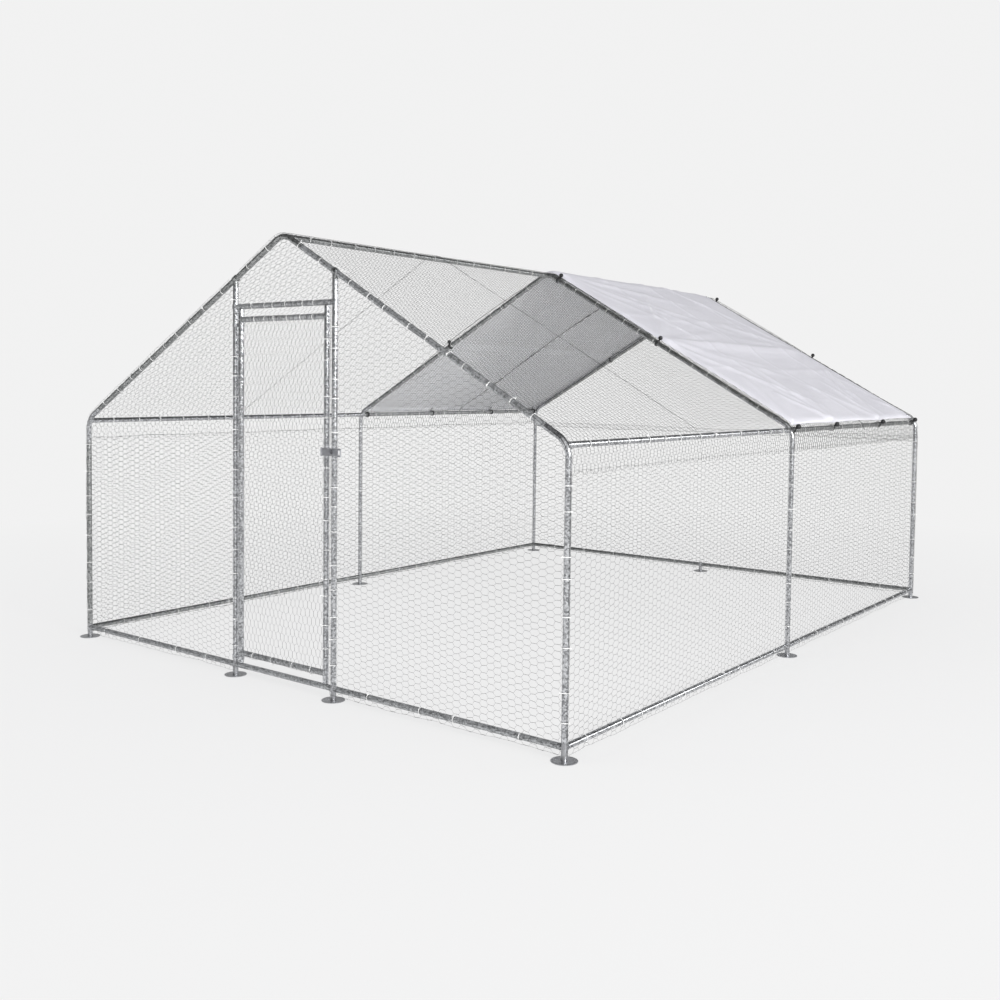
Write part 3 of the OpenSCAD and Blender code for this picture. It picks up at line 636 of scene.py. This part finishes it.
def fan(s, y, gen, start, toward, spread, count, reach, height):
    """Creases that run out from a point where the sheet is pulled."""
    h = np.zeros_like(s)
    for k in range(count):
        turn = toward + spread * ((k + gen.uniform(0.1, 0.9)) / count - 0.5)
        length = reach * gen.uniform(0.5, 1.0)
        end = (start[0] + length * math.cos(turn), start[1] + length * math.sin(turn))
        h += crease(s, y, start, end, height * gen.uniform(0.6, 1.2), gen.uniform(FOLD_W, 0.045), FOLD_W)
    return h


def tarp_folds(s, y):
    """How far the sheet stands off the net: creases from the bungees, soft waves and packing folds."""
    gen = np.random.default_rng(5)
    h = np.zeros_like(s)
    for side in (-1, 1):
        hem = side * HEM[side]
        up_slope, down_slope = (math.pi, 0.0) if side > 0 else (0.0, math.pi)
        for yy in [0.02] + BUNGEES[side][1:3] + [REAR[side]]:
            h += fan(s, y, gen, (hem, yy), up_slope, 2.1, 5, 0.60, 0.0070)
        middle, top = SHARES[1] * hem, SHARES[0] * hem
        back = down_slope + side * 1.1
        h += fan(s, y, gen, (middle, 0.0), math.pi / 2, 1.9, 6, 1.5, 0.0072)
        h += fan(s, y, gen, (middle, REAR[side]), -math.pi / 2, 2.0, 5, 1.2, 0.0070)
        h += fan(s, y, gen, (top, 0.0), back, 1.0, 5, 1.6, 0.0070)
        h += crease(s, y, (middle, 0.0), (1.03 * middle, REAR[side]), 0.0220, 0.065, 0.028)
        h += crease(s, y, (middle, REAR[side]), (hem, BUNGEES[side][2]), 0.0120, 0.030, FOLD_W)
    for _ in range(7):
        a = gen.uniform(0, math.pi)
        f = gen.uniform(2.0, 6.0)
        h += 0.0012 * (1 + np.sin(f * (s * math.cos(a) + y * math.sin(a)) * 2 + gen.uniform(0, 6.28)))
    for c in PACKED_Y:
        h += PACKED_H * np.exp(-((y - c) / PACKED_W) ** 2)
    for c in PACKED_S:
        h += PACKED_H * np.exp(-((s - c) / PACKED_W) ** 2)
    return h


def build_tarp():
    """The sheet, from hem to hem (u) and front to rear (v), and its area. The last rows curl over a rafter."""
    u = np.linspace(-1, 1, COLUMNS)
    v = np.concatenate([np.linspace(0, 1, ROWS), np.ones(CURL_ROWS)])
    curl = np.concatenate([np.zeros(ROWS), np.linspace(1 / CURL_ROWS, 1, CURL_ROWS)])
    nu, nv = len(u), len(v)
    uu, vv = np.meshgrid(u, v, indexing="ij")
    left = uu < 0
    share = np.abs(uu)
    edge = edge_at(share)
    end = np.where(left, REAR[-1], REAR[1] - 0.25 * edge)
    y = (TARP_FRONT + edge) + vv * (end - TARP_FRONT - edge)
    s = np.sign(uu) * share * np.where(left, hem_at(y, -1), hem_at(y, 1))
    h = tarp_folds(s, y)
    # the folds flatten towards the edges
    h *= np.clip(np.minimum(np.minimum(vv / 0.02, (1 - vv) / 0.08), (1 - share) / 0.012), 0.15, 1)
    bend = CURL_TURN * np.broadcast_to(curl, uu.shape)
    fade = np.clip((-uu - 0.02) / 0.05, 0, 1)
    y = y + np.where(bend > 0, fade * CURL_R * np.sin(bend) + 0.002 * bend * (1 - fade), 0)
    h = h * np.where(bend > 0, 1 - fade, 1) - fade * np.where(bend > 0, TARP_OFF - CURL_R * np.cos(bend), 0)
    x, z, nx, nz = roof_profile(s.ravel(), TARP_OFF)
    n = np.stack([nx, np.zeros_like(nx), nz], 1)
    top = np.stack([x, y.ravel(), z], 1) + n * (h.ravel()[:, None] + TARP_T)
    low = top - n * TARP_T
    verts = np.concatenate([top, low])
    idx = np.arange(nu * nv).reshape(nu, nv)
    a, b, c, d = idx[:-1, :-1], idx[1:, :-1], idx[1:, 1:], idx[:-1, 1:]
    upper = np.stack([a, b, c, d], -1).reshape(-1, 4)
    lower = upper[:, ::-1] + nu * nv
    ring = np.concatenate([idx[:, 0], idx[-1, 1:], idx[-2::-1, -1], idx[0, -2:0:-1]])
    nxt = np.roll(ring, -1)
    rim = np.stack([ring, ring + nu * nv, nxt + nu * nv, nxt], 1)
    o = mesh_object("tarp_sheet", verts, [upper, lower, rim], TARP_OUT, "frame", True)
    o.data.materials.append(TARP_IN)
    which = np.zeros(len(o.data.polygons), np.int32)
    which[len(upper):len(upper) + len(lower)] = 1
    o.data.polygons.foreach_set("material_index", which)
    uv = o.data.uv_layers.new(name="UVMap")
    co = np.stack([s.ravel(), y.ravel()], 1)
    co = np.concatenate([co, co])
    loop_v = np.zeros(len(o.data.loops), np.int32)
    o.data.loops.foreach_get("vertex_index", loop_v)
    uv.data.foreach_set("uv", co[loop_v].astype(np.float32).ravel())
    p = top.reshape(nu, nv, 3)
    area = 0.5 * (np.linalg.norm(np.cross(p[1:, :-1] - p[:-1, :-1], p[:-1, 1:] - p[:-1, :-1]), axis=-1).sum()
                  + np.linalg.norm(np.cross(p[1:, 1:] - p[1:, :-1], p[1:, 1:] - p[:-1, 1:]), axis=-1).sum())
    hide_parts("tarp")
    return o, area


tarp, tarp_area = build_tarp()


# Bungees

def ball_mesh(soup, centre, radius, rings=12, around=18):
    t = np.linspace(0, math.pi, rings + 1)[1:-1]
    p = 2 * math.pi * np.arange(around) / around
    body = np.stack([np.outer(np.sin(t), np.cos(p)), np.outer(np.sin(t), np.sin(p)),
                     np.outer(np.cos(t), np.ones(around))], -1).reshape(-1, 3)
    verts = np.concatenate([body, [[0, 0, 1], [0, 0, -1]]]) * radius + np.asarray(centre)
    i = np.arange(around)
    j = (i + 1) % around
    quads = np.concatenate([np.stack([a + i, a + around + i, a + around + j, a + j], 1)
                            for a in range(0, (rings - 2) * around, around)])
    last = (rings - 2) * around
    top, bottom = last + around, last + around + 1
    soup.add(verts, [quads, np.stack([np.full(around, top), i, j], 1),
                     np.stack([np.full(around, bottom), last + j, last + i], 1)])


def cord_mesh(soup, path, radius, closed=False, around=8):
    path = np.asarray(path, float)
    n = len(path)
    if closed:
        d = unit(np.roll(path, -1, 0) - np.roll(path, 1, 0))
    else:
        d = unit(np.gradient(path, axis=0))
    ref = np.array([0.31, 0.87, 0.38])
    e1 = unit(np.cross(d, ref))
    e2 = np.cross(d, e1)
    a = 2 * math.pi * np.arange(around) / around
    ring = np.cos(a)[None, :, None] * e1[:, None] + np.sin(a)[None, :, None] * e2[:, None]
    verts = path[:, None] + radius * ring
    i = np.arange(around)
    j = (i + 1) % around
    spans = range(n) if closed else range(n - 1)
    quads = np.concatenate([np.stack([k * around + i, k * around + j, ((k + 1) % n) * around + j,
                                      ((k + 1) % n) * around + i], 1) for k in spans])
    soup.add(verts.reshape(-1, 3), [quads])


CORD_R = 0.0022


def bungee(soup, centre, axis, out, reach, ball=0.0135):
    """A ball held by two strands round a tube. The ball lies towards out, at reach from the tube's axis."""
    centre, axis, out = np.asarray(centre, float), unit(axis), unit(out)
    side = np.cross(axis, out)
    r = R_TUBE + 0.0032
    for shift in (-0.0035, 0.0035):
        pts = []
        for t in np.linspace(-0.80 * math.pi, 0.80 * math.pi, 19):
            pts.append(centre + axis * shift - (math.cos(t) * r * out) + math.sin(t) * r * side)
        neck = centre + out * (reach - 0.012) + axis * shift * 0.3
        cord_mesh(soup, [neck] + pts + [neck], CORD_R)
    ball_mesh(soup, centre + out * reach, ball)


soup = Soup()
lean = (math.pi / 2 + PITCH) / 2
for side in (-1, 1):
    for y in BUNGEES[side]:
        out = np.array([side * math.sin(lean), 0, math.cos(lean)])
        bungee(soup, (side * EAVE_MID_X, y, EAVE_MID_Z), (0, 1, 0), out, 0.036)
    for y, share in ((0.0, 0.05), (0.0, 0.485), (L, 0.05), (L, 0.53)):
        if side < 0 and share < 0.1:  # the ridge has one bungee at each end
            continue
        out = np.array([side * SIN, 0.20 if y == 0 else -0.20, COS])
        bungee(soup, on_rafter(side, y, SLOPE * (1 - share)), (-side * COS, 0, SIN), out, 0.032, 0.012)
bungees = soup.object("bungees", BLACK, "frame", True, "bungee")
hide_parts("tarp_bungees")


# Eyelets in the tarp

def eyelet(soup, s, y):
    x, z, nx, nz = (float(np.ravel(a)[0]) for a in roof_profile(np.array([s]), TARP_OFF + 0.004))
    n = np.array([nx, 0, nz])
    e1 = np.array([0, 1.0, 0])
    e2 = np.cross(n, e1)
    a = 2 * math.pi * np.arange(20) / 20
    path = np.array([x, y, z]) + 0.0075 * (np.cos(a)[:, None] * e1 + np.sin(a)[:, None] * e2)
    cord_mesh(soup, path, CORD_R, closed=True)


soup = Soup()
for side in (-1, 1):
    for y in BUNGEES[side]:
        eyelet(soup, side * (HEM[side] - 0.024), min(max(y, 0.03), REAR[side] - 0.026))
    for share in SHARES:
        for y in (0.036, REAR[side] - 0.028):
            eyelet(soup, side * HEM[side] * share, y)
eyelets = soup.object("tarp_eyelets", GALV, "frame", True, "galvanised_tube")


# Joint screws

def screw(soup, at, out):
    """A pan-headed screw on a tube. at is on the tube's axis."""
    at, out = np.asarray(at, float), unit(out)
    ref = np.array([0, 0, 1.0]) if abs(out[2]) < 0.9 else np.array([1.0, 0, 0])
    e1 = unit(np.cross(out, ref))
    e2 = np.cross(out, e1)
    n = 12
    a = 2 * math.pi * np.arange(n) / n
    ring = np.cos(a)[:, None] * e1 + np.sin(a)[:, None] * e2
    base = at + out * (R_TUBE - 0.0008)
    verts = np.concatenate([base + ring * 0.0042, base + out * 0.0022 + ring * 0.0040,
                            base + out * 0.0034 + ring * 0.0026, [base + out * 0.0036]])
    i = np.arange(n)
    j = (i + 1) % n
    soup.add(verts, [np.concatenate([np.stack([r * n + i, r * n + j, (r + 1) * n + j, (r + 1) * n + i], 1)
                                     for r in range(2)]),
                     np.stack([2 * n + i, 2 * n + j, np.full(n, 3 * n)], 1)])


FOOT_SCREW, STUB_SCREW = 0.095, 0.035  # height on the posts, and distance along the rails from a joint
ELBOW_SCREW, RIDGE_SCREW = 0.145, 0.168
soup = Soup()
for y in (-L, 0, L):
    for side in (-1, 1):
        screw(soup, (side * W, y, FOOT_SCREW), (side, 0, 0))
        screw(soup, (side * W, y, EAVE - ELBOW_SCREW), (side, 0, 0))
        screw(soup, on_rafter(side, y, ELBOW_SCREW), (-side * SIN, 0, -COS))
        screw(soup, on_rafter(side, y, SLOPE - RIDGE_SCREW), (-side * SIN, 0, -COS))
    for side in (-1, 1):
        for way in (-1, 1):
            if abs(y + way * 0.1) < L:
                screw(soup, (side * W, y + way * STUB_SCREW, RAIL_Z), (side, 0, 0))
                screw(soup, (side * EAVE_MID_X, y + way * STUB_SCREW, EAVE_MID_Z), (0, 0, -1))
for x in (-W + STUB_SCREW, -DOOR_X - STUB_SCREW, DOOR_X + STUB_SCREW, W - STUB_SCREW):
    screw(soup, (x, -L, RAIL_Z), (0, -1, 0))
for x in (-W + STUB_SCREW, -STUB_SCREW, STUB_SCREW, W - STUB_SCREW):
    screw(soup, (x, L, RAIL_Z), (0, 1, 0))
for sx in (-1, 1):
    screw(soup, (sx * (DOOR_X - 0.042), -L, HEADER_Z), (0, -1, 0))
    screw(soup, (sx * DOOR_X, -L, FOOT_SCREW), (0, -1, 0))
soup.object("joint_screws", FITTING, "frame", True, "fittings")


# Looks of the CAD nodes: all are the same zinc, but the rails towards the camera get a softer, less metallic
# copy with painted light, and the rafters, the ridge and the rails in the shade get a duller, darker copy with
# painted shade

PAINTED_LIGHT_PARTS = ("rafter_front_right", "door_header", "door_top_rail", "door_low_rail", "door_side_rails",
        "door_threshold")
PAINTED_SHADE_PARTS = ("rear_rails", "base_rail_front_left", "base_rail_back_left", "eave_purlin_back_left",
        "eave_purlin_back_right", "post_front_left")
for name, o in frame["nodes"].items():
    # painted light: the lighter copy on the rails towards the camera
    if name in PAINTED_LIGHT_PARTS:
        mat = GALV_PAINTED_LIGHT
    # painted shade: the darker copy on the rafters, the ridge and the rails in the shade
    elif name.startswith(("rafter", "ridge")) or name in PAINTED_SHADE_PARTS:
        mat = GALV_PAINTED_SHADE
    elif name.endswith(("feet", "foot")):
        mat = FEET
    elif name.startswith("hasp") or name == "hinge_bolts":
        mat = FITTING
    else:
        mat = GALV
    o.data.materials.clear()
    o.data.materials.append(mat)


# Stage, light and camera

PALE = 0.885  # the backdrop
SHADE = 0.22  # how much of the shadows the floor keeps
FLAG = 0.05  # the dark flags that metal reflects


def seen(tree):
    """1 for camera, glossy and transmission rays."""
    path = tree.nodes.new("ShaderNodeLightPath")
    last = path.outputs["Is Camera Ray"]
    for name in ("Is Glossy Ray", "Is Transmission Ray"):
        top = tree.nodes.new("ShaderNodeMath")
        top.operation = "MAXIMUM"
        tree.links.new(last, top.inputs[0])
        tree.links.new(path.outputs[name], top.inputs[1])
        last = top.outputs[0]
    return last


def stage_floor():
    """A pale floor that keeps a faint part of the shadows."""
    mat, tree, bsdf = new_material("studio_floor")
    tree.nodes.remove(bsdf)
    out = tree.nodes["Material Output"]
    noise = node(tree, "ShaderNodeTexNoise", Scale=2.0, Detail=3.0)
    col = ramp(tree, noise.outputs["Fac"], [(0.0, (0.79, 0.79, 0.79)), (1.0, (0.81, 0.81, 0.81))])
    diffuse = tree.nodes.new("ShaderNodeBsdfDiffuse")
    tree.links.new(col.outputs["Color"], diffuse.inputs["Color"])
    glow = tree.nodes.new("ShaderNodeEmission")
    glow.inputs["Color"].default_value = (PALE, PALE, PALE, 1)
    mix = tree.nodes.new("ShaderNodeMixShader")
    coord = tree.nodes.new("ShaderNodeTexCoord")
    dist = tree.nodes.new("ShaderNodeVectorMath")
    dist.operation = "LENGTH"
    tree.links.new(coord.outputs["Object"], dist.inputs[0])
    glow_part = tree.nodes.new("ShaderNodeMapRange")
    glow_part.inputs["From Min"].default_value = 2.0
    glow_part.inputs["From Max"].default_value = 6.0
    glow_part.inputs["To Min"].default_value = 1 - SHADE
    glow_part.inputs["To Max"].default_value = 1.0
    tree.links.new(dist.outputs["Value"], glow_part.inputs["Value"])
    fac = tree.nodes.new("ShaderNodeMath")
    fac.operation = "MULTIPLY"
    tree.links.new(seen(tree), fac.inputs[0])
    tree.links.new(glow_part.outputs["Result"], fac.inputs[1])
    tree.links.new(fac.outputs[0], mix.inputs["Fac"])
    tree.links.new(diffuse.outputs[0], mix.inputs[1])
    tree.links.new(glow.outputs[0], mix.inputs[2])
    tree.links.new(mix.outputs[0], out.inputs["Surface"])
    bpy.ops.mesh.primitive_plane_add(size=400, location=(0, 0, -0.0005))
    floor = bpy.context.object
    floor.name = "floor"
    floor.data.materials.append(mat)


stage_floor()

world = bpy.data.worlds.new("studio")
bpy.context.scene.world = world
world.use_nodes = True
wt = world.node_tree
background = wt.nodes["Background"]
coord = wt.nodes.new("ShaderNodeTexCoord")
split = wt.nodes.new("ShaderNodeSeparateXYZ")
wt.links.new(coord.outputs["Generated"], split.inputs[0])
sky = ramp(wt, split.outputs["Z"], [(0.0, (0.43, 0.43, 0.44)), (0.9, (0.74, 0.74, 0.76))])
# what metal reflects: the pale backdrop, dark flags at the sides and a softbox beside the camera
box = wt.nodes.new("ShaderNodeVectorMath")
box.operation = "DOT_PRODUCT"
box.inputs[1].default_value = Vector((0.80, -0.52, 0.20)).normalized()
wt.links.new(coord.outputs["Generated"], box.inputs[0])
turn = wt.nodes.new("ShaderNodeMapRange")
turn.inputs["From Min"].default_value = -1.0
wt.links.new(box.outputs["Value"], turn.inputs["Value"])
room = ramp(wt, turn.outputs["Result"], [(0.04, (0.6,) * 3), (0.36, (FLAG,) * 3), (0.75, (FLAG,) * 3),
                                        (0.87, (PALE,) * 3), (1.0, (1.0,) * 3)])
path = wt.nodes.new("ShaderNodeLightPath")
shown = wt.nodes.new("ShaderNodeMix")
shown.data_type = "RGBA"
wt.links.new(path.outputs["Is Glossy Ray"], shown.inputs["Factor"])
shown.inputs["A"].default_value = (PALE, PALE, PALE, 1)
wt.links.new(room.outputs["Color"], shown.inputs["B"])
mix = wt.nodes.new("ShaderNodeMix")
mix.data_type = "RGBA"
wt.links.new(seen(wt), mix.inputs["Factor"])
wt.links.new(sky.outputs["Color"], mix.inputs["A"])
wt.links.new(shown.outputs["Result"], mix.inputs["B"])
wt.links.new(mix.outputs["Result"], background.inputs["Color"])
background.inputs["Strength"].default_value = 1.0


def lamp(name, at, aim, size, power, glossy=True):
    light = bpy.data.lights.new(name, "AREA")
    light.shape = "SQUARE"
    light.size = size
    light.energy = power
    o = bpy.data.objects.new(name, light)
    bpy.context.scene.collection.objects.link(o)
    o.location = at
    o.rotation_euler = (Vector(aim) - Vector(at)).to_track_quat("-Z", "Y").to_euler()
    o.visible_glossy = glossy


lamp("key", (9.0, -3.5, 3.2), (0.5, -0.5, 0.9), 2.5, 520)
lamp("rim", (7.5, 8.5, 3.5), (0.5, 0.5, 0.9), 3.5, 220)
lamp("fill", (-6.5, -7.5, 4.0), (0, -0.5, 0.8), 4.0, 260, glossy=False)
lamp("low", (3.2, -7.5, 0.5), (-0.6, 1.0, 1.5), 2.5, 230, glossy=False)

cam_data = bpy.data.cameras.new("camera")
cam = bpy.data.objects.new("camera", cam_data)
bpy.context.scene.collection.objects.link(cam)
bpy.context.scene.camera = cam
# turned and placed as fitted to the photo's feet, eaves, ridge and door
az, el, roll = math.radians(37.596), math.radians(2.686), math.radians(0.666)
d = Vector((math.sin(az) * math.cos(el), -math.cos(az) * math.cos(el), math.sin(el)))
right = Vector((math.cos(az), math.sin(az), 0))
up = d.cross(right)
r2 = right * math.cos(roll) + up * math.sin(roll)
u2 = up * math.cos(roll) - right * math.sin(roll)
m = Matrix((r2, u2, d)).transposed().to_4x4()
m.translation = Vector((3.651, -5.222, 1.348))
cam.matrix_world = m
cam_data.sensor_width = 36.0
cam_data.lens = 39.393
cam_data.shift_x, cam_data.shift_y = 0.0049, -0.0646
cam_data.clip_start, cam_data.clip_end = 0.05, 500

bpy.context.scene.view_settings.view_transform = "Standard"
